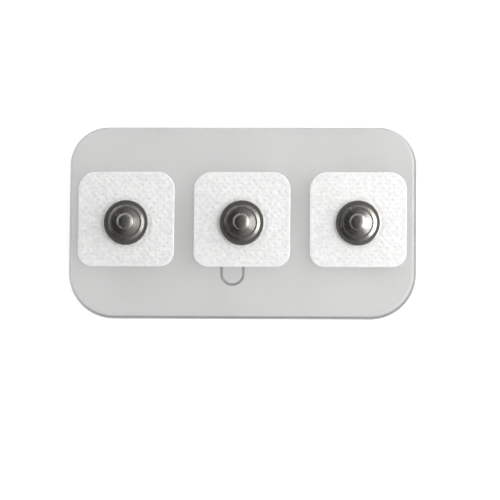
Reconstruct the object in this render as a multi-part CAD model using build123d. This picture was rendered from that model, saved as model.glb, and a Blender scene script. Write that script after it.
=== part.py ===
from build123d import *
import math
import os

# ECG electrode card: three tape electrodes stuck to one clear release liner.
# Millimetres. +X runs along the card, +Y to its rear edge, +Z up along the studs.
# The origin is on the table under the middle of the liner, level with the feet of its cups and of its edge.

# Row of square tape pads
electrode_names = ("left", "middle", "right")
tape_length = 23.5
tape_width = 23.2
tape_rear_corner = 4.2
tape_front_corner = 3.5
tape_thickness = 0.35
tape_gap = 4.8

# Release liner, a film formed with a cup under each pad and an edge that turns down to the table all round
liner_end_margin = 2.4
liner_rear_margin = 11.35
liner_front_margin = 12.6
liner_thickness = 0.3
liner_rear_corner = 9.4
liner_front_corner = 11.2
edge_lean = 9
cup_depth = 2.4
cup_draft = 20

# U-shaped slit in the liner, its bend in front of the middle pad and its ends under the pad
slit_x = -2.2
slit_radius = 2.66
slit_reach = 4.35
slit_cover = 1.2
slit_gap = 0.15

# Gel disc in the cup and the sensor eyelet that lies on it
eyelet_inset = 0.4
eyelet_thickness = 0.3
post_end_chamfer = 0.2
gel_rim = 1.6

# Snap stud, pressed from one round of sheet, from its hemmed brim up to its head
stud_setback = 0.9
sheet = 0.25
brim_radius = 5.55
brim_height = 0.6
brim_round = 0.25
brim_flats = 2
brim_width = 1.0
slope_run = 0.75
slope_rise = 0.35
ledge_width = 0.35
cone_rise = 0.55
neck_length = 0.6
head_radius = 1.95
head_overhang = 0.3
head_band = 0.5
shoulder_round = 0.67
shoulder_flats = 3

# Clearances of the eyelet's post in the stud's bore, and of the gel in its cup
post_clearance = 0.02
gel_clearance = 0.4

# Places and sizes that follow from the ones above
electrode_pitch = tape_length + tape_gap
liner_length = len(electrode_names) * electrode_pitch - tape_gap + 2 * liner_end_margin
liner_width = tape_width + liner_rear_margin + liner_front_margin
tape_y = (liner_front_margin - liner_rear_margin) / 2
stud_y = tape_y - stud_setback
film_top = cup_depth + liner_thickness
tape_top = film_top + tape_thickness
gel_top = film_top - eyelet_thickness
eyelet_radius = brim_radius - eyelet_inset
gel_radius = eyelet_radius + gel_rim
cup_floor_radius = gel_radius + gel_clearance
cup_mouth_radius = cup_floor_radius + cup_depth * math.tan(math.radians(cup_draft))
neck_radius = head_radius - head_overhang
bore_radius = neck_radius - sheet
post_radius = bore_radius - post_clearance
ledge_height = brim_height + slope_rise
cone_top = ledge_height + cone_rise
head_foot = cone_top + neck_length
band_foot = head_foot + head_overhang
crown = band_foot + head_band + shoulder_round
bore_end = crown - sheet


def rounded_outline(length, width, rear_corner, front_corner):
    """A rectangle about the origin with one radius at its rear corners and one at its front."""
    sketch = Rectangle(length, width)
    sketch = fillet(sketch.vertices().group_by(Axis.Y)[-1], rear_corner)
    return fillet(sketch.vertices().group_by(Axis.Y)[0], front_corner)


def turned(points):
    """A closed outline of radius and height, turned about Z."""
    return revolve(Plane.XZ * make_face(Polyline(*points, close=True)), Axis.Z)


def quarter_round(radius, height, size, flats):
    """Points of a quarter circle in a few flats, from its foot at this radius and height inwards."""
    turns = [math.radians(90 * flat / flats) for flat in range(flats + 1)]
    return [(radius - size + size * math.cos(turn), height + size * math.sin(turn)) for turn in turns]


def electrode_x():
    """The middle of each electrode along the card."""
    return [(number - (len(electrode_names) - 1) / 2) * electrode_pitch for number in range(len(electrode_names))]


def release_liner():
    """A low tray of film upside down, open below, with its cups pressed down and its slit cut."""
    outline = rounded_outline(liner_length, liner_width, liner_rear_corner, liner_front_corner)
    blank = extrude(outline, film_top, taper=edge_lean)
    mouth = blank.faces().sort_by(Axis.Z)[0]
    film = offset(blank, amount=-liner_thickness, openings=mouth, kind=Kind.INTERSECTION)
    for centre_x in electrode_x():
        film += Pos(centre_x, stud_y) * cup_blank(liner_thickness)
    for centre_x in electrode_x():
        film -= Pos(centre_x, stud_y, liner_thickness) * cup_blank(0)
    return film - slit()


def cup_blank(wall):
    """The cone of a cup from its foot to its mouth: its room inside, or its outside with the wall added."""
    on_foot = (Align.CENTER, Align.CENTER, Align.MIN)
    return Cone(cup_floor_radius + wall, cup_mouth_radius + wall, cup_depth, align=on_foot)


def slit():
    """The U of the slit as a strip, tall enough to pass through the film."""
    tape_front = tape_y - tape_width / 2
    bend_y = tape_front - slit_reach + slit_radius
    leg_end = tape_front + slit_cover
    left_leg = Line((slit_x - slit_radius, leg_end), (slit_x - slit_radius, bend_y))
    bend = JernArc(left_leg @ 1, left_leg % 1, slit_radius, 180)
    right_leg = Line(bend @ 1, (slit_x + slit_radius, leg_end))
    strip = extrude(trace(left_leg + bend + right_leg, slit_gap), 2 * liner_thickness, both=True)
    return Pos(0, 0, film_top) * strip


def tape():
    """A flat square of nonwoven with a hole for the eyelet's post."""
    outline = rounded_outline(tape_length, tape_width, tape_rear_corner, tape_front_corner)
    face = Pos(0, tape_y - stud_y) * outline - Circle(bore_radius)
    return Pos(0, 0, film_top) * extrude(face, tape_thickness)


def gel():
    """A plain disc of gel from the floor of the cup up to the sensor."""
    return Pos(0, 0, liner_thickness) * extrude(Circle(gel_radius), gel_top - liner_thickness)


def eyelet():
    """The sensor disc and its post, which fills the stud's bore up to the underside of its crown."""
    disc = extrude(Circle(eyelet_radius), eyelet_thickness)
    post = extrude(Circle(post_radius), tape_top + bore_end - gel_top)
    post = chamfer(post.edges().sort_by(Axis.Z)[-1], post_end_chamfer)
    return Pos(0, 0, gel_top) * (disc + post)


def stud():
    """The snap stud: a hemmed brim, a hollow dome with a ledge and a cone, then the bored neck and the head."""
    slope_foot = brim_radius - brim_width
    slope_head = slope_foot - slope_run
    outside = [
        (brim_radius, 0),
        *quarter_round(brim_radius, brim_height - brim_round, brim_round, brim_flats),
        (slope_foot, brim_height),
        (slope_head, ledge_height),
        (slope_head - ledge_width, ledge_height),
        (neck_radius, cone_top),
        (neck_radius, head_foot),
        (head_radius, band_foot),
        *quarter_round(head_radius, band_foot + head_band, shoulder_round, shoulder_flats),
        (0, crown),
    ]
    inside = [
        (0, bore_end),
        (bore_radius, bore_end),
        (bore_radius, ledge_height - sheet),
        (slope_head, ledge_height - sheet),
        (slope_head, 0),
    ]
    return Pos(0, 0, tape_top) * turned(outside + inside)


def card():
    """Every piece in its place, by the name of its node."""
    pieces = {"release_liner": release_liner()}
    electrode = {"tape": tape(), "gel": gel(), "eyelet": eyelet(), "stud": stud()}
    for name, centre_x in zip(electrode_names, electrode_x()):
        for piece_name, piece in electrode.items():
            pieces[f"{name}_{piece_name}"] = Pos(centre_x, stud_y) * piece
    return pieces


os.makedirs("parts", exist_ok=True)
for node, shape in card().items():
    export_step(shape, f"parts/{node}.step")
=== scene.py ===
# %% [markdown]
# # A card of ECG electrodes
# The real object is one sheet of clear film, the release liner, with three electrodes stuck to it in a row.
# Each electrode is a square of white nonwoven tape with a metal snap stud in its middle, and a disc of gel
# hangs under it in a cup of the liner. The solids come from the CAD model, already in place and in metres.
# Blender adds what solids can't show: soft folds in the film, the fibres and welds of the cloth, and metal.

import math

import bmesh
import bpy
from mathutils import Matrix, Vector


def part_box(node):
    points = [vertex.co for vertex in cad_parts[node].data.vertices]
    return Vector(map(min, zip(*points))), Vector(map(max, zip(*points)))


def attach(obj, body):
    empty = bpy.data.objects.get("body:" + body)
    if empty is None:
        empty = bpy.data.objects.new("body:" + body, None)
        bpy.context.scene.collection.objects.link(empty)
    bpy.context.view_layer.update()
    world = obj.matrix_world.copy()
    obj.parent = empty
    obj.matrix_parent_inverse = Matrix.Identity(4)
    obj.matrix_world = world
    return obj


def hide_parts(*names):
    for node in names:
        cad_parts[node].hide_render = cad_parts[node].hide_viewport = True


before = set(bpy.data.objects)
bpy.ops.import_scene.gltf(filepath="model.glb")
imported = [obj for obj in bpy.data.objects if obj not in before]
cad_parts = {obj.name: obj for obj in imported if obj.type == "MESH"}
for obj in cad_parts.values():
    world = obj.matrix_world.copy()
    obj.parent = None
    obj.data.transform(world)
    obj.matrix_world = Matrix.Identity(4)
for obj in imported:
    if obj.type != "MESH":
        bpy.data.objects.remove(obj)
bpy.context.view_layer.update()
MM = 0.001
ELECTRODES = ("left", "middle", "right")
print("solids:", ", ".join(sorted(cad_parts)))

# %% [markdown]
# ## Writing nodes as sums
# A material is a graph of nodes, and so is a Geometry Nodes tree. Wiring them one link at a time is slow to
# read, so a small class wraps a socket: a sum or product of two of them makes the Math node and its links.
# Every other node comes from one method that is given the node's type, its settings and its inputs.

# %% A socket that does sums
class Wire:
    """The value of one socket, on its way to the next node."""

    def __init__(self, graph, socket):
        self.graph = graph
        self.socket = socket

    def out(self, name):
        """Another output of the same node."""
        return Wire(self.graph, self.socket.node.outputs[name])

    def __add__(self, other):
        return self.graph.maths("ADD", self, other)

    def __radd__(self, other):
        return self.graph.maths("ADD", other, self)

    def __sub__(self, other):
        return self.graph.maths("SUBTRACT", self, other)

    def __rsub__(self, other):
        return self.graph.maths("SUBTRACT", other, self)

    def __mul__(self, other):
        return self.graph.maths("MULTIPLY", self, other)

    def __rmul__(self, other):
        return self.graph.maths("MULTIPLY", other, self)

    def __truediv__(self, other):
        return self.graph.maths("DIVIDE", self, other)

    def __rtruediv__(self, other):
        return self.graph.maths("DIVIDE", other, self)


# %% A graph that makes nodes
class Graph:
    """A node tree of a material, of the world or of Geometry Nodes."""

    def __init__(self, tree):
        self.tree = tree

    def add(self, kind, settings=None, inputs=None, output=0):
        """Any node: its type, its settings, then the values or links of its sockets."""
        node = self.tree.nodes.new(kind)
        for name, value in (settings or {}).items():
            setattr(node, name, value)
        for name, value in (inputs or {}).items():
            if isinstance(value, Wire):
                self.tree.links.new(value.socket, node.inputs[name])
            else:
                node.inputs[name].default_value = value
        return Wire(self, node.outputs[output]) if len(node.outputs) else node

    def maths(self, operation, *values):
        return self.add("ShaderNodeMath", {"operation": operation}, dict(enumerate(values)))

    def mix(self, share, first, second):
        """A colour between two others."""
        return self.add("ShaderNodeMix", {"data_type": "RGBA"}, {0: share, 6: first, 7: second}, output=2)

    def ramp(self, value, low, high):
        """0 up to low, 1 from high, and a soft rise between them."""
        return self.add(
            "ShaderNodeMapRange",
            {"interpolation_type": "SMOOTHSTEP"},
            {"Value": value, "From Min": low, "From Max": high},
        )


def new_finish(name):
    """An empty material and its graph."""
    material = bpy.data.materials.new(name)
    material.use_nodes = True
    material.node_tree.nodes.clear()
    return material, Graph(material.node_tree)


print("node helpers ready")

# %% [markdown]
# ## Camera
# The photograph was taken from almost straight above, from a little in front and to the right, with a long
# lens: the heads of the studs stand slightly behind the middles of their brims, and the edges of the card
# stay parallel. The camera is therefore far away, with a long focal length and a small tilt. A camera that
# looks down has no natural way up, so its axes are written out with the rear of the card as up.

# %% Set the camera
SCALE_PX_PER_MM = 4.113
FRAME_PX = 500
VIEW_POINT = Vector((2.05, -6.91, 3.0)) * MM
VIEW_DISTANCE = 0.8
FRONT_TILT = math.radians(6.0)
RIGHT_TILT = math.radians(3.5)
ROLL = math.radians(0.54)
UP = Vector((0, 1, 0))

camera_data = bpy.data.cameras.new("camera")
camera = bpy.data.objects.new("camera", camera_data)
bpy.context.scene.collection.objects.link(camera)
outward = Vector((math.tan(RIGHT_TILT), -math.tan(FRONT_TILT), 1.0)).normalized()
level = UP.cross(outward).normalized()
across = level * math.cos(ROLL) + outward.cross(level) * math.sin(ROLL)
axes = Matrix((across, outward.cross(across), outward)).transposed()
camera.matrix_world = Matrix.Translation(VIEW_POINT + VIEW_DISTANCE * outward) @ axes.to_4x4()
camera_data.sensor_width = 36.0
camera_data.lens = camera_data.sensor_width * VIEW_DISTANCE / (FRAME_PX / SCALE_PX_PER_MM * MM)
bpy.context.scene.camera = camera
bpy.context.scene.view_settings.view_transform = "Standard"
print("focal length", round(camera_data.lens, 1), "mm")

# %% [markdown]
# ## Light
# Pads and film are lit softly from all round, while the studs look like gunmetal: bright nickel mirrors a
# dark ceiling. So the light comes from low down, as from windows and pale walls, and mostly from the right.
# The right stud has a glare that fades from stud to stud to the left. Only a source close by does that, so
# an upright panel of light stands just to the right of the card, hidden from the camera. A low strip nearer
# to the card adds glare to metal and film alone: matt surfaces don't see it, so it can't bleach the pads.

# %% Stand the lamps
PANEL_PLACE = (0.09, 0.01, 0.1)
PANEL_SIZE = (0.14, 0.14)
PANEL_WATTS = 0.105
STRIP_PLACE = (0.075, -0.005, 0.042)
STRIP_SIZE = (0.03, 0.065)
STRIP_WATTS = 0.035


def upright_lamp(name, place, size, watts, lights_matt=True):
    """An upright rectangular lamp on the right that faces left."""
    lamp_data = bpy.data.lights.new(name, "AREA")
    lamp_data.shape = "RECTANGLE"
    lamp_data.size, lamp_data.size_y = size
    lamp_data.energy = watts
    lamp = bpy.data.objects.new(name, lamp_data)
    bpy.context.scene.collection.objects.link(lamp)
    lamp.location = place
    lamp.rotation_euler = (0, math.radians(90), 0)
    lamp.visible_camera = False
    lamp.visible_diffuse = lights_matt
    print(name, watts, "W at", round(lamp.location.length, 2), "m")


upright_lamp("near_panel", PANEL_PLACE, PANEL_SIZE, PANEL_WATTS)
upright_lamp("glare_strip", STRIP_PLACE, STRIP_SIZE, STRIP_WATTS, lights_matt=False)

# %% [markdown]
# ## World and floor
# The world is the room: a dark ceiling that is paler on the right, and a band of walls below it. The right
# wall is the brightest and the front one is dark, because the pads throw their soft shadows on the film
# between them and forwards. The background of the photograph is plain white. More light would bleach the
# tape, so the white comes from the floor itself: it glows a little, but only for rays that come from the
# camera or that metal and clear film pass on. The rest of its brightness is ordinary reflected light, so
# shadows still show on it. From below the floor is clear, so that the card's underside can be looked at too.
# Each span below says where one brightness passes into the next, along the X, Y or Z of the direction that
# is looked in, each of which goes from -1 to 1.

# %% Paint the room
CEILING_LEFT = 0.05
CEILING_RIGHT = 0.62
WALL_LEFT = 3.3
WALL_RIGHT = 4.5
WALL_FRONT = 0.7
WALL_REAR = 2.5
CEILING_SPAN = (-0.5, 0.75)
WALL_SPAN = (-0.3, 0.3)
CORNER_SPAN = (0.25, 0.75)
HEIGHT_SPAN = (0.3, 0.52)
world = bpy.data.worlds.new("world")
bpy.context.scene.world = world
world.use_nodes = True
world.node_tree.nodes.clear()
graph = Graph(world.node_tree)


def background(strength):
    """A part of the room with one brightness."""
    return graph.add("ShaderNodeBackground", {}, {"Color": (1, 1, 1, 1), "Strength": strength})


def blend(share, first, second):
    """A shader that passes from the first to the second."""
    return graph.add("ShaderNodeMixShader", {}, {0: share, 1: first, 2: second})


towards = graph.add("ShaderNodeSeparateXYZ", {}, {0: graph.add("ShaderNodeTexCoord")})
ceiling = blend(graph.ramp(towards, *CEILING_SPAN), background(CEILING_LEFT), background(CEILING_RIGHT))
sides = blend(graph.ramp(towards, *WALL_SPAN), background(WALL_LEFT), background(WALL_RIGHT))
ends = blend(graph.ramp(towards.out("Y"), *WALL_SPAN), background(WALL_FRONT), background(WALL_REAR))
walls = blend(graph.ramp(graph.maths("ABSOLUTE", towards), *CORNER_SPAN), ends, sides)
room = blend(graph.ramp(towards.out("Z"), *HEIGHT_SPAN), walls, ceiling)
graph.add("ShaderNodeOutputWorld", {}, {"Surface": room})
print("room of", len(world.node_tree.nodes), "nodes")

# %% Lay the floor
FLOOR_HALF = 3.0
FLOOR_DROP = -0.1 * MM
FLOOR_GLOW = 0.6
FLOOR_PALE = (0.86, 0.86, 0.86, 1)
floor_finish, graph = new_finish("floor")
path = graph.add("ShaderNodeLightPath")
passed_on = graph.maths("MAXIMUM", path.out("Is Glossy Ray"), path.out("Is Transmission Ray"))
shown = graph.maths("MAXIMUM", path, passed_on)
lit = graph.add("ShaderNodeBsdfDiffuse", {}, {"Color": FLOOR_PALE})
glow = graph.add("ShaderNodeEmission", {}, {"Color": (1, 1, 1, 1), "Strength": FLOOR_GLOW})
glowing = graph.add("ShaderNodeAddShader", {}, {0: lit, 1: glow})
from_above = graph.add("ShaderNodeMixShader", {}, {0: shown, 1: lit, 2: glowing})
from_below = graph.add("ShaderNodeBsdfTransparent")
below = graph.add("ShaderNodeNewGeometry", output="Backfacing")
surface = graph.add("ShaderNodeMixShader", {}, {0: below, 1: from_above, 2: from_below})
graph.add("ShaderNodeOutputMaterial", {}, {"Surface": surface})
floor_mesh = bpy.data.meshes.new("floor")
signs = ((-1, -1), (1, -1), (1, 1), (-1, 1))
floor_corners = [(x * FLOOR_HALF, y * FLOOR_HALF, FLOOR_DROP) for x, y in signs]
floor_mesh.from_pydata(floor_corners, [], [(0, 1, 2, 3)])
floor_mesh.materials.append(floor_finish)
floor = bpy.data.objects.new("floor", floor_mesh)
bpy.context.scene.collection.objects.link(floor)
print("floor laid")

# %% [markdown]
# ## Tools for lines and skins
# Film, tape and studs are loops of points joined into skins. A corner in a line of points is rounded by a
# true arc, as a press or a forming mould leaves it. Loops with the same number of points are joined by
# four-sided faces.

# %% Round a line, make loops and join them
def soften(points, radii, steps=6):
    """An open line of (run, height) points with its inner corners rounded."""
    line = [Vector(points[0])]
    for before, corner, after, radius in zip(points, points[1:], points[2:], radii):
        corner = Vector(corner)
        back = (Vector(before) - corner).normalized()
        on = (Vector(after) - corner).normalized()
        half = back.angle(on) / 2
        centre = corner + (back + on).normalized() * radius / math.sin(half)
        start = corner + back * radius / math.tan(half) - centre
        end = corner + on * radius / math.tan(half) - centre
        line += [centre + start.slerp(end, step / steps).normalized() * radius for step in range(steps + 1)]
    return line + [Vector(points[-1])]


def rounded_loop(low, high, rear, front, inset=0.0, steps=16):
    """Plan points of a rectangle in millimetres, its rear and its front corners each with one radius."""
    corners = ((1, 1, rear, 0), (-1, 1, rear, 90), (-1, -1, front, 180), (1, -1, front, 270))
    middle = (low + high) / 2
    half = (high - low) / 2
    loop = []
    for side_x, side_y, radius, turn in corners:
        centre = (middle.x + side_x * (half.x - radius), middle.y + side_y * (half.y - radius))
        for step in range(steps + 1):
            angle = math.radians(turn + 90 * step / steps)
            reach = radius - inset
            loop.append((centre[0] + reach * math.cos(angle), centre[1] + reach * math.sin(angle)))
    return loop


def circle_loop(centre, radius, count):
    """Plan points of a circle in millimetres."""
    turns = [2 * math.pi * step / count for step in range(count)]
    return [(centre[0] + radius * math.cos(turn), centre[1] + radius * math.sin(turn)) for turn in turns]


def add_loop(skin, plan, height):
    """Vertices of a closed loop at one height."""
    return [skin.verts.new((x * MM, y * MM, height * MM)) for x, y in plan]


def join_loops(skin, first, second):
    """Four-sided faces between two closed loops."""
    for step in range(len(first)):
        follow = (step + 1) % len(first)
        skin.faces.new((first[step], first[follow], second[follow], second[step]))


def loop_edges(skin, loop):
    """The edges of a closed loop."""
    pairs = zip(loop, loop[1:] + loop[:1])
    return [skin.edges.get(pair) or skin.edges.new(pair) for pair in pairs]


def finish_skin(skin, name, finish, sharp_angle=40):
    """A mesh object at the origin, its faces turned outwards."""
    bmesh.ops.recalc_face_normals(skin, faces=skin.faces[:])
    mesh = bpy.data.meshes.new(name)
    skin.to_mesh(mesh)
    skin.free()
    mesh.shade_smooth()
    mesh.set_sharp_from_angle(angle=math.radians(sharp_angle))
    mesh.materials.append(finish)
    piece = bpy.data.objects.new(name, mesh)
    bpy.context.scene.collection.objects.link(piece)
    print(name, len(mesh.polygons), "faces")
    return piece


def box_mm(node):
    """The corners of a solid's box in millimetres."""
    return tuple(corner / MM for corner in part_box(node))


print("tools ready")

# %% [markdown]
# ## Film
# The liner is clear film with a faint smoky tint. Clear plastic could be glass with refraction, but a sheet
# this thin bends no light that anyone would see, and glass turns its shadow black. Alpha lets light and
# sight straight through, but it thins the gloss too. So the gloss is a second shader, mixed in by Fresnel,
# and most along the fold, where an attribute of the mesh called fold is 1. Clear plastic looks dark where
# sight runs along it, because it leads the light away inside. That shade is painted: a dark grey, mixed in
# by the attribute called edge with Layer Weight, darkens the turned-down edge seen from above. Where sight
# barely grazes it, its surface mirrors the pale room instead, and the painted shade fades again. The same
# dark grey, mixed in by the attribute called cut, paints shade on the lips of the slit.

# %% Mix the film
SMOKE_DARK = (0.34, 0.34, 0.33, 1)
SMOKE_PALE = (0.41, 0.41, 0.40, 1)
PAINTED_SHADE_GREY = (0.08, 0.08, 0.08, 1)
FILM_ALPHA = 0.325
PAINTED_SHADE_ALPHA = 0.75
FLAT_GLOSS = 0.05
FOLD_GLOSS = 0.2
DARKENING = (0.3, 0.7)
MIRRORING = (0.8, 0.93)
film_finish, graph = new_finish("liner_film")
place = graph.add("ShaderNodeTexCoord", output="Object")
edge = graph.add("ShaderNodeAttribute", {"attribute_name": "edge"}, output="Fac")
fold = graph.add("ShaderNodeAttribute", {"attribute_name": "fold"}, output="Fac")
cut = graph.add("ShaderNodeAttribute", {"attribute_name": "cut"}, output="Fac")
cloud = graph.add("ShaderNodeTexNoise", {}, {"Vector": place, "Scale": 55.0, "Detail": 2.0})
tint = graph.mix(graph.ramp(cloud, 0.3, 0.7), SMOKE_DARK, SMOKE_PALE)
ripple = graph.add("ShaderNodeTexNoise", {}, {"Vector": place, "Scale": 140.0, "Detail": 1.0})
relief = graph.add("ShaderNodeBump", {}, {"Height": ripple, "Strength": 0.15, "Distance": 0.4 * MM})
shader = graph.add(
    "ShaderNodeBsdfPrincipled",
    {},
    {
        "Base Color": tint,
        "Roughness": 0.16 + cloud * 0.12,
        "Alpha": FILM_ALPHA,
        "Specular IOR Level": 0.0,
        "Normal": relief,
    },
)
gloss = graph.add(
    "ShaderNodeBsdfPrincipled",
    {},
    {"Base Color": (1, 1, 1, 1), "Metallic": 1.0, "Roughness": 0.1 + cloud * 0.1, "Normal": relief},
)
sheen = graph.add("ShaderNodeFresnel", {}, {"IOR": 1.45, "Normal": relief})
gloss_share = sheen * (fold * FOLD_GLOSS + FLAT_GLOSS)
film = graph.add("ShaderNodeMixShader", {}, {0: gloss_share, 1: shader, 2: gloss})
# A dark grey shader: the painted shade on the turned-down edge and on the lips of the slit.
painted_shade = graph.add(
    "ShaderNodeBsdfPrincipled",
    {},
    {"Base Color": PAINTED_SHADE_GREY, "Roughness": 0.6, "Alpha": PAINTED_SHADE_ALPHA, "Specular IOR Level": 0.1},
)
grazing = graph.add("ShaderNodeLayerWeight", {}, {"Blend": 0.5}, output="Facing")
along_wall = graph.ramp(grazing, *DARKENING) * (1 - graph.ramp(grazing, *MIRRORING))
# Where the painted shade goes: the edge seen along its wall, and the lips of the slit.
dark = graph.maths("MAXIMUM", edge * along_wall, cut)
surface = graph.add("ShaderNodeMixShader", {}, {0: dark, 1: film, 2: painted_shade})
graph.add("ShaderNodeOutputMaterial", {}, {"Surface": surface})
print("film mixed")

# %% [markdown]
# ## Release liner
# A forming mould presses three cups into the sheet and turns its edge down to the table all round, and a
# die cuts the small U-shaped slit that helps a thumb to lift the middle pad. The skin is built in the same
# order: loops round the edge, loops down each cup, narrow rings along the slit, and then one flat fill on
# each side that joins them all. Both sides of the film are modelled, so it shows its thickness at the cuts.
# Solidify could thicken one skin too, but the rounds inside and outside of the fold have their own radii.

# %% Sizes of the film
FILM_THICKNESS = 0.3
FILM_REAR_CORNER = 9.4
FILM_FRONT_CORNER = 11.2
EDGE_LEAN = math.radians(9)
FLAT_START = 3.4
FOLD_RADIUS = 1.0
FOLD_INNER_RADIUS = 0.7
CUT_RADIUS = 0.05
FOLD_STEPS = 10
liner_low, liner_high = box_mm("release_liner")
film_top = liner_high.z
film_under = film_top - FILM_THICKNESS
edge_run = film_top * math.tan(EDGE_LEAN)
edge_wall = FILM_THICKNESS / math.cos(EDGE_LEAN)
edge_section = soften(
    [
        (FLAT_START, film_top),
        (edge_run, film_top),
        (0, 0),
        (edge_wall, 0),
        (edge_wall + film_under * math.tan(EDGE_LEAN), film_under),
        (FLAT_START, film_under),
    ],
    [FOLD_RADIUS, CUT_RADIUS, CUT_RADIUS, FOLD_INNER_RADIUS],
    steps=FOLD_STEPS,
)
print("film from", round(film_under, 2), "to", round(film_top, 2), "mm, leaning in by", round(edge_run, 2))

# %% Sizes of the cups
CUP_FLOOR = 7.15
CUP_DRAFT = math.radians(20)
CUP_STEPS = 96
CUP_LIP = 1.2
CUP_FLOOR_RING = 4.0
CUP_INSIDE_ROUNDS = (0.45, 0.7)
CUP_OUTSIDE_ROUNDS = (0.75, 0.9)
cup_lean = film_under * math.tan(CUP_DRAFT)


def cup_section(floor, top, foot, rounds):
    """A line from the flat of the film down the wall of a cup and in along its floor."""
    mouth = floor + cup_lean
    return soften([(mouth + CUP_LIP, top), (mouth, top), (floor, foot), (CUP_FLOOR_RING, foot)], rounds)


cup_inside = cup_section(CUP_FLOOR, film_top, FILM_THICKNESS, CUP_INSIDE_ROUNDS)
cup_outside = cup_section(CUP_FLOOR + FILM_THICKNESS, film_under, 0.0, CUP_OUTSIDE_ROUNDS)
print("cups lean by", round(cup_lean, 2), "mm")

# %% The line of the slit
SLIT_MIDDLE = -2.2
SLIT_RADIUS = 2.66
SLIT_REACH = 4.35
SLIT_COVER = 1.2
SLIT_LEG_STEPS = 6
SLIT_BEND_STEPS = 40
SLIT_HALF_GAP = 0.02
tape_front = box_mm("middle_tape")[0].y
slit_bend = tape_front - SLIT_REACH + SLIT_RADIUS
slit_end = tape_front + SLIT_COVER


def slit_loop(reach):
    """Plan points round the slit, this far from its middle line."""
    runs = [slit_end + (slit_bend - slit_end) * step / SLIT_LEG_STEPS for step in range(SLIT_LEG_STEPS)]
    turns = [math.pi + math.pi * step / SLIT_BEND_STEPS for step in range(SLIT_BEND_STEPS + 1)]
    lines = []
    for radius in (SLIT_RADIUS + reach, SLIT_RADIUS - reach):
        line = [(SLIT_MIDDLE - radius, y) for y in runs]
        bend = [(radius * math.cos(turn), radius * math.sin(turn)) for turn in turns]
        line += [(SLIT_MIDDLE + x, slit_bend + y) for x, y in bend]
        line += [(SLIT_MIDDLE + radius, y) for y in reversed(runs)]
        lines.append(line)
    outer, inner = lines
    right_cap = (SLIT_MIDDLE + SLIT_RADIUS, slit_end + reach)
    left_cap = (SLIT_MIDDLE - SLIT_RADIUS, slit_end + reach)
    return outer + [right_cap] + inner[::-1] + [left_cap]


print("slit loop of", len(slit_loop(SLIT_HALF_GAP)), "points")

# %% Build the film's edge
# Painted shade on the turned-down edge: its strength, where it starts and how fast it rises, where it starts
# to fade and how fast it falls.
EDGE_SHADE_STRENGTH = 0.9
EDGE_SHADE_START = 0.12
EDGE_SHADE_RISE = 0.1
EDGE_SHADE_FADE = 0.27
EDGE_SHADE_FALL = 1.1
FOLD_END = 0.25


def edge_shade(depth):
    """How dark the painted shade on the edge is at this share of its height, from 0 at the top to 1 at the
    foot.
    """
    rise = min(1.0, max(0.0, (depth - EDGE_SHADE_START) / EDGE_SHADE_RISE))
    return EDGE_SHADE_STRENGTH * rise * min(1.0, 1.0 - (depth - EDGE_SHADE_FADE) * EDGE_SHADE_FALL)


skin = bmesh.new()
edge_shade_layer = skin.verts.layers.float.new("edge")
fold_layer = skin.verts.layers.float.new("fold")
slit_shade_layer = skin.verts.layers.float.new("cut")
loops = []
for run, height in edge_section:
    plan = rounded_loop(liner_low, liner_high, FILM_REAR_CORNER, FILM_FRONT_CORNER, inset=run)
    loops.append(add_loop(skin, plan, height))
    depth = (film_top - height) / film_top
    for vertex in loops[-1]:
        vertex[edge_shade_layer] = edge_shade(depth)
        vertex[fold_layer] = 1.0 if 0.0 < depth < FOLD_END and run < FLAT_START else 0.0
for first, second in zip(loops, loops[1:]):
    join_loops(skin, first, second)
top_edges = loop_edges(skin, loops[0])
under_edges = loop_edges(skin, loops[-1])
print("edge of", len(loops), "loops")

# %% Press the cups, cut the slit and fill the flats
# The lips of the slit get painted shade: its strength, how far from the cut it stays full, and where it has
# faded out.
SLIT_SHADE = 0.6
SHADED_REACH = 0.24
CLEAR_REACH = 0.32
for name in ELECTRODES:
    stud_low, stud_high = box_mm(f"{name}_stud")
    centre = (stud_low + stud_high) / 2
    for section, edges in ((cup_inside, top_edges), (cup_outside, under_edges)):
        rings = []
        for radius, height in section:
            rings.append(add_loop(skin, circle_loop(centre, radius, CUP_STEPS), height))
        for first, second in zip(rings, rings[1:]):
            join_loops(skin, first, second)
        skin.faces.new(rings[-1])
        edges += loop_edges(skin, rings[0])

slit_walls = []
for height, edges in ((film_top, top_edges), (film_under, under_edges)):
    lip = add_loop(skin, slit_loop(SLIT_HALF_GAP), height)
    shaded = add_loop(skin, slit_loop(SHADED_REACH), height)
    clear = add_loop(skin, slit_loop(CLEAR_REACH), height)
    join_loops(skin, lip, shaded)
    join_loops(skin, shaded, clear)
    for vertex in lip + shaded:
        vertex[slit_shade_layer] = SLIT_SHADE
    edges += loop_edges(skin, clear)
    slit_walls.append(lip)
join_loops(skin, *slit_walls)
for edges in (top_edges, under_edges):
    bmesh.ops.triangle_fill(skin, use_beauty=True, edges=edges)
liner = finish_skin(skin, "clear_liner", film_finish)
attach(liner, "root")
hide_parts("release_liner")

# %% [markdown]
# ## Nonwoven
# The tape is white nonwoven: fine fibres laid in every direction and welded together at small points in
# staggered rows. The welds are pressed in and slightly glassy, so they look a little greyer than the fluffy
# cloth between them. The material takes the welds from an attribute that the mesh carries. The fibres are
# stretched noise in three directions, as bump and as a faint change of tone.

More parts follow.
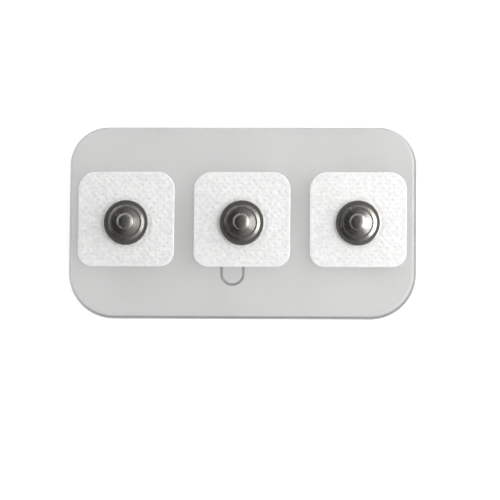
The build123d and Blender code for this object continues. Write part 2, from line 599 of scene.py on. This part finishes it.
# %% Mix the nonwoven
FIBRE_TURNS = (12, 71, 134)
FIBRE_STRETCH = (9000, 700, 2000)
FIBRE_GREY = (0.86, 0.86, 0.855, 1)
FIBRE_WHITE = (0.96, 0.96, 0.95, 1)
FLUFF_GREY = (0.79, 0.79, 0.785, 1)
WELD_GREY = (0.74, 0.74, 0.735, 1)
FLUFF_SHARE = 0.7
WELD_SHARE = 0.5
cloth_finish, graph = new_finish("nonwoven_tape")
place = graph.add("ShaderNodeTexCoord", output="Object")
weld = graph.add("ShaderNodeAttribute", {"attribute_name": "weld"}, output="Fac")
fibres = 0.0
for turn in FIBRE_TURNS:
    lie = graph.add(
        "ShaderNodeMapping",
        {},
        {"Vector": place, "Rotation": (0, 0, math.radians(turn)), "Scale": FIBRE_STRETCH},
    )
    strand = graph.add(
        "ShaderNodeTexNoise",
        {},
        {"Vector": lie, "Scale": 1.0, "Detail": 2.0, "Distortion": 0.4},
    )
    fibres = strand / len(FIBRE_TURNS) + fibres
loft = graph.add("ShaderNodeTexNoise", {}, {"Vector": place, "Scale": 950.0, "Detail": 3.0})
fluff = graph.ramp(loft, 0.34, 0.66)
tone = graph.mix(graph.ramp(fibres, 0.4, 0.6), FIBRE_GREY, FIBRE_WHITE)
tone = graph.mix(fluff * FLUFF_SHARE, tone, FLUFF_GREY)
colour = graph.mix(weld * WELD_SHARE, tone, WELD_GREY)
relief = graph.add(
    "ShaderNodeBump",
    {},
    {"Height": fibres + loft * 0.6, "Strength": 0.5, "Distance": 0.08 * MM},
)
shader = graph.add(
    "ShaderNodeBsdfPrincipled",
    {},
    {
        "Base Color": colour,
        "Roughness": 0.92 - weld * 0.25,
        "Sheen Weight": 0.1,
        "Specular IOR Level": 0.25,
        "Normal": relief,
    },
)
graph.add("ShaderNodeOutputMaterial", {}, {"Surface": shader})
print("nonwoven mixed")

# %% [markdown]
# ## Welding the cloth
# The welds repeat over each whole pad in staggered rows, so Geometry Nodes press them in: the tree finds
# how far each point of the cloth is from its nearest weld, moves it down there, and keeps that nearness as
# the attribute that the material reads. A slow noise bends the rows, because cloth stretches as it is
# handled. Pressing hundreds of dents by hand would give the same picture with far more work.

# %% The tree that welds the cloth
ROW_SHARE = 0.55
ROW_BEND = 1.6
WELD_OVAL = 1.3
WELD_SOFTNESS = (0.35, 1.1)
LUMP_SEED = 7.0
weld_tree = bpy.data.node_groups.new("weld_cloth", "GeometryNodeTree")
socket_kinds = {
    "Cloth": "NodeSocketGeometry",
    "Weld Spacing": "NodeSocketFloat",
    "Weld Size": "NodeSocketFloat",
    "Weld Depth": "NodeSocketFloat",
    "Fluff Height": "NodeSocketFloat",
    "Seed": "NodeSocketFloat",
    "Finish": "NodeSocketMaterial",
}
weld_sockets = {
    name: weld_tree.interface.new_socket(name=name, in_out="INPUT", socket_type=kind)
    for name, kind in socket_kinds.items()
}
weld_tree.interface.new_socket(name="Cloth", in_out="OUTPUT", socket_type="NodeSocketGeometry")
graph = Graph(weld_tree)
given = graph.add("NodeGroupInput")
point = graph.add("GeometryNodeInputPosition")
spacing = given.out("Weld Spacing")
bend = graph.add(
    "ShaderNodeTexNoise",
    {"noise_dimensions": "4D"},
    {"Vector": point, "W": given.out("Seed"), "Scale": 380.0, "Detail": 2.0},
    output="Color",
)
sway = graph.add("ShaderNodeSeparateXYZ", {}, {0: bend})
spot = graph.add("ShaderNodeSeparateXYZ", {}, {0: point})
column = spot / spacing + (sway - 0.5) * ROW_BEND
row = spot.out("Y") / (spacing * ROW_SHARE) + (sway.out("Y") - 0.5) * ROW_BEND
stagger = graph.maths("MODULO", graph.maths("FLOOR", row), 2.0) * 0.5
from_column = graph.maths("FRACT", column + stagger) - 0.5
from_row = graph.maths("FRACT", row) - 0.5
away_x = from_column * spacing / given.out("Weld Size")
away_y = from_row * spacing * ROW_SHARE / given.out("Weld Size") * WELD_OVAL
away = graph.maths("SQRT", away_x * away_x + away_y * away_y)
print("weld tree has", len(weld_tree.nodes), "nodes so far")

# %% Press the welds in and end the tree
near = 1.0 - graph.ramp(away, *WELD_SOFTNESS)
top_side = graph.add("GeometryNodeInputNamedAttribute", {"data_type": "FLOAT"}, {"Name": "top_side"})
pressed = near * top_side
lumps = graph.add(
    "ShaderNodeTexNoise",
    {"noise_dimensions": "4D"},
    {"Vector": point, "W": given.out("Seed") + LUMP_SEED, "Scale": 900.0, "Detail": 2.0},
)
drop = (lumps - 0.5) * given.out("Fluff Height") * top_side - pressed * given.out("Weld Depth")
move = graph.add("ShaderNodeCombineXYZ", {}, {"Z": drop})
moved = graph.add("GeometryNodeSetPosition", {}, {"Geometry": given, "Offset": move})
kept = graph.add(
    "GeometryNodeStoreNamedAttribute",
    {"data_type": "FLOAT", "domain": "POINT"},
    {"Geometry": moved, "Name": "weld", "Value": pressed},
)
real = graph.add("GeometryNodeRealizeInstances", {}, {"Geometry": kept})
painted = graph.add("GeometryNodeSetMaterial", {}, {"Geometry": real, "Material": given.out("Finish")})
graph.add("NodeGroupOutput", {}, {0: painted})
print("weld tree has", len(weld_tree.nodes), "nodes")

# %% [markdown]
# ## Tape pads
# Each pad is a square of cloth with rounded corners, laid flat on the film, with a hole for the sensor's
# post. Loops run from the hole out to the cut edge, close enough together for the welds to show. The
# stud's brim clamps the cloth, which swells a little beyond it, and thins towards its soft cut edge. The
# pad lies flat on the film. A cloth simulation would add nothing to a sheet that lies flat.

# %% Loops of a pad
TAPE_REAR_CORNER = 4.2
TAPE_FRONT_CORNER = 3.5
POST_HOLE = 1.4
PAD_POINTS = 440
PAD_RINGS = 72
ADHESIVE_GAP = 0.01


def even_points(loop, count):
    """A closed loop walked in equal steps."""
    corners = [Vector(point) for point in loop]
    sides = list(zip(corners, corners[1:] + corners[:1]))
    total = sum((end - start).length for start, end in sides)
    points = []
    passed = 0.0
    for start, end in sides:
        length = (end - start).length
        while len(points) < count and len(points) * total / count < passed + length:
            points.append(start.lerp(end, (len(points) * total / count - passed) / length))
        passed += length
    return points


def flat_area(loop):
    """The area inside a closed loop."""
    return abs(sum(x1 * y2 - x2 * y1 for (x1, y1), (x2, y2) in zip(loop, loop[1:] + loop[:1]))) / 2


print("a pad has", PAD_POINTS * PAD_RINGS, "points on its top")

# %% Build a pad
# Each loop near the cut edge: how far inside the edge it lies, how far down, and its share of the welds
EDGE_SOFTNESS = ((0.5, 0.0, 1.0), (0.3, 0.01, 0.7), (0.15, 0.02, 0.4), (0.05, 0.05, 0.1), (0.0, 0.09, 0.0))
CLAMPED = 5.6
SWELL = 0.1
SWELL_START = 1.2
THINNING = 0.18


def swell(point, centre, reach):
    """How far the cloth stands above or below its plain height at this point of the pad."""
    away = (point - centre).length
    rise = min(1.0, max(0.0, (away - CLAMPED) / SWELL_START))
    fall = min(1.0, max(0.0, (away - CLAMPED) / (reach - CLAMPED)))
    return SWELL * rise * rise * (3 - 2 * rise) - (SWELL + THINNING) * fall * (2 - fall) * rise


def plain_pad(name):
    """The pad before it is welded, and its cut outline."""
    low, high = box_mm(f"{name}_tape")
    stud_low, stud_high = box_mm(f"{name}_stud")
    centre = ((stud_low + stud_high) / 2).to_2d()
    outline = even_points(rounded_loop(low, high, TAPE_REAR_CORNER, TAPE_FRONT_CORNER), PAD_POINTS)
    hole = [centre + (point - centre).normalized() * POST_HOLE for point in outline]
    skin = bmesh.new()
    top_layer = skin.verts.layers.float.new("top_side")
    rings = []
    for ring in range(PAD_RINGS):
        share = ring / PAD_RINGS
        plan = []
        for inner, outer in zip(hole, outline):
            rim = outer - (outer - inner).normalized() * EDGE_SOFTNESS[0][0]
            plan.append(inner.lerp(rim, share))
        rings.append(add_loop(skin, plan, high.z))
        for vertex, point, outer in zip(rings[-1], plan, outline):
            vertex.co.z += swell(point, centre, (outer - centre).length) * MM
            vertex[top_layer] = 1.0 if ring else 0.0
    for inset, thinner, free in EDGE_SOFTNESS:
        plan = [outer - (outer - inner).normalized() * inset for inner, outer in zip(hole, outline)]
        rings.append(add_loop(skin, plan, high.z - THINNING - thinner))
        for vertex in rings[-1]:
            vertex[top_layer] = free
    for plan in (outline, hole):
        rings.append(add_loop(skin, plan, low.z + ADHESIVE_GAP))
    for first, second in zip(rings, rings[1:] + rings[:1]):
        join_loops(skin, first, second)
    return finish_skin(skin, f"{name}_plain_pad", cloth_finish), [tuple(point) for point in outline]


print("cloth swells by", SWELL, "mm")

# %% Weld the pads
SEED_STEP = 3.0
WELD_SIZES = {
    "Weld Spacing": 1.75 * MM,
    "Weld Size": 0.34 * MM,
    "Weld Depth": 0.07 * MM,
    "Fluff Height": 0.12 * MM,
}
for number, name in enumerate(ELECTRODES):
    plain, outline = plain_pad(name)
    welding = plain.modifiers.new("welds", "NODES")
    welding.node_group = weld_tree
    for socket_name, value in {**WELD_SIZES, "Seed": SEED_STEP * number, "Finish": cloth_finish}.items():
        welding[weld_sockets[socket_name].identifier] = value
    welded = bpy.data.meshes.new_from_object(plain.evaluated_get(bpy.context.evaluated_depsgraph_get()))
    bpy.data.objects.remove(plain)
    pad = bpy.data.objects.new(f"{name}_pad", welded)
    bpy.context.scene.collection.objects.link(pad)
    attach(pad, "root")
    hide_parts(f"{name}_tape")
    area = flat_area(outline) * MM * MM
    print(pad.name, len(welded.polygons), "faces")

# %% [markdown]
# ## Plated metal
# The studs are pressed from thin sheet and plated with nickel. Where it is flat, the plate mirrors the dark
# ceiling, and its slopes on the right catch the lamps. Pressing and tumbling leave fine rings and small dull
# patches, so the roughness and the relief change along the profile, which the mesh carries as an attribute,
# and the tone from spot to spot.

# %% Mix the plate
PLATE_CLEAN = (0.38, 0.37, 0.345, 1)
PLATE_DULL = (0.26, 0.25, 0.23, 1)
RINGS_PER_MM = 9.0
plate_finish, graph = new_finish("plated_stud")
place = graph.add("ShaderNodeTexCoord", output="Object")
along = graph.add("ShaderNodeAttribute", {"attribute_name": "along"}, output="Fac")
rings = graph.add(
    "ShaderNodeTexNoise",
    {"noise_dimensions": "1D"},
    {"W": along * RINGS_PER_MM, "Scale": 1.0, "Detail": 3.0},
)
patch = graph.add("ShaderNodeTexNoise", {}, {"Vector": place, "Scale": 650.0, "Detail": 3.0})
dull = graph.ramp(patch, 0.4, 0.7)
colour = graph.mix(dull * 0.5, PLATE_CLEAN, PLATE_DULL)
relief = graph.add("ShaderNodeBump", {}, {"Height": rings, "Strength": 0.25, "Distance": 0.06 * MM})
shader = graph.add(
    "ShaderNodeBsdfPrincipled",
    {},
    {
        "Base Color": colour,
        "Metallic": 1.0,
        "Roughness": 0.16 + dull * 0.1 + rings * 0.06,
        "Normal": relief,
    },
)
graph.add("ShaderNodeOutputMaterial", {}, {"Surface": shader})
print("plate mixed")

# %% [markdown]
# ## Snap studs
# A stud is round, so its half outline is turned about its axis: a low domed crown, the band of the head,
# a neck, a cone, a narrow ledge, a slope and a flat brim whose edge is hemmed. Spin or the Screw modifier
# would turn it too. Loops of points keep the seam closed, and each one stores how far along the outline it
# lies.

# %% Turn the studs
STUD_STEPS = 128
ROUND_STEPS = 8
SAME_POINT = 0.0005
# Radius, height and rounding of each corner, from the crown down to the brim, then back inside up the bore
STUD_OUTLINE = (
    (0.0, 3.57, 0.0),
    (0.62, 3.56, 4.0),
    (1.3, 3.47, 2.0),
    (1.95, 3.18, 0.12),
    (1.95, 2.4, 0.2),
    (1.65, 2.1, 0.12),
    (1.65, 1.5, 0.22),
    (3.45, 0.95, 0.3),
    (3.8, 0.95, 0.3),
    (4.55, 0.6, 0.9),
    (5.55, 0.6, 0.25),
    (5.55, 0.0, 0.05),
    (3.8, 0.0, 0.05),
    (3.8, 0.7, 0.1),
    (1.4, 0.7, 0.1),
    (1.4, 3.32, 0.1),
    (0.0, 3.32, 0.0),
)


def turned_stud(name):
    """A stud turned about its axis, closed at both ends."""
    low, high = box_mm(f"{name}_stud")
    centre = (low + high) / 2
    corners = [corner[:2] for corner in STUD_OUTLINE]
    line = soften(corners, [corner[2] for corner in STUD_OUTLINE[1:-1]], steps=ROUND_STEPS)
    skin = bmesh.new()
    along_layer = skin.verts.layers.float.new("along")
    loops = []
    walked = 0.0
    for before, point in zip([line[0]] + line, line):
        walked += (point - before).length
        loop = add_loop(skin, circle_loop(centre, point.x, STUD_STEPS), low.z + point.y)
        for vertex in loop:
            vertex[along_layer] = walked
        loops.append(loop)
    for first, second in zip(loops, loops[1:]):
        join_loops(skin, first, second)
    bmesh.ops.remove_doubles(skin, verts=skin.verts[:], dist=SAME_POINT * MM)
    return finish_skin(skin, f"{name}_snap", plate_finish, sharp_angle=60)


for name in ELECTRODES:
    snap = turned_stud(name)
    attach(snap, "root")
    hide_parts(f"{name}_stud")

# %% [markdown]
# ## Sensor and gel
# Under the tape lies the sensor, a disc with a silver coating, and under that a disc of clear gel in the
# cup. They show only from below, through the film. Their solids are right as they are, so they only get
# finishes: the coating is matte with fine speckle, and the gel is pale, moist and slightly cloudy.

# %% Mix the coating
COATING_DARK = (0.50, 0.49, 0.47, 1)
COATING_PALE = (0.66, 0.65, 0.62, 1)
coat_finish, graph = new_finish("silver_coating")
place = graph.add("ShaderNodeTexCoord", output="Object")
speckle = graph.add("ShaderNodeTexNoise", {}, {"Vector": place, "Scale": 3000.0, "Detail": 3.0})
colour = graph.mix(graph.ramp(speckle, 0.35, 0.65), COATING_DARK, COATING_PALE)
relief = graph.add("ShaderNodeBump", {}, {"Height": speckle, "Strength": 0.2, "Distance": 0.03 * MM})
shader = graph.add(
    "ShaderNodeBsdfPrincipled",
    {},
    {"Base Color": colour, "Metallic": 0.35, "Roughness": 0.5 + speckle * 0.2, "Normal": relief},
)
graph.add("ShaderNodeOutputMaterial", {}, {"Surface": shader})
print("coating mixed")

# %% Mix the gel, and finish the solids
GEL_CLOUDY = (0.74, 0.78, 0.75, 1)
GEL_CLEAR = (0.84, 0.87, 0.84, 1)
gel_finish, graph = new_finish("contact_gel")
place = graph.add("ShaderNodeTexCoord", output="Object")
haze = graph.add("ShaderNodeTexNoise", {}, {"Vector": place, "Scale": 350.0, "Detail": 2.0})
colour = graph.mix(graph.ramp(haze, 0.3, 0.7), GEL_CLOUDY, GEL_CLEAR)
relief = graph.add("ShaderNodeBump", {}, {"Height": haze, "Strength": 0.2, "Distance": 0.2 * MM})
shader = graph.add(
    "ShaderNodeBsdfPrincipled",
    {},
    {"Base Color": colour, "Roughness": 0.1 + haze * 0.15, "Alpha": 0.5 + haze * 0.3, "Normal": relief},
)
graph.add("ShaderNodeOutputMaterial", {}, {"Surface": shader})

for name in ELECTRODES:
    for piece_name, finish in (("eyelet", coat_finish), ("gel", gel_finish)):
        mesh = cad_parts[f"{name}_{piece_name}"].data
        mesh.materials.clear()
        mesh.materials.append(finish)
print("sensors and gels finished")
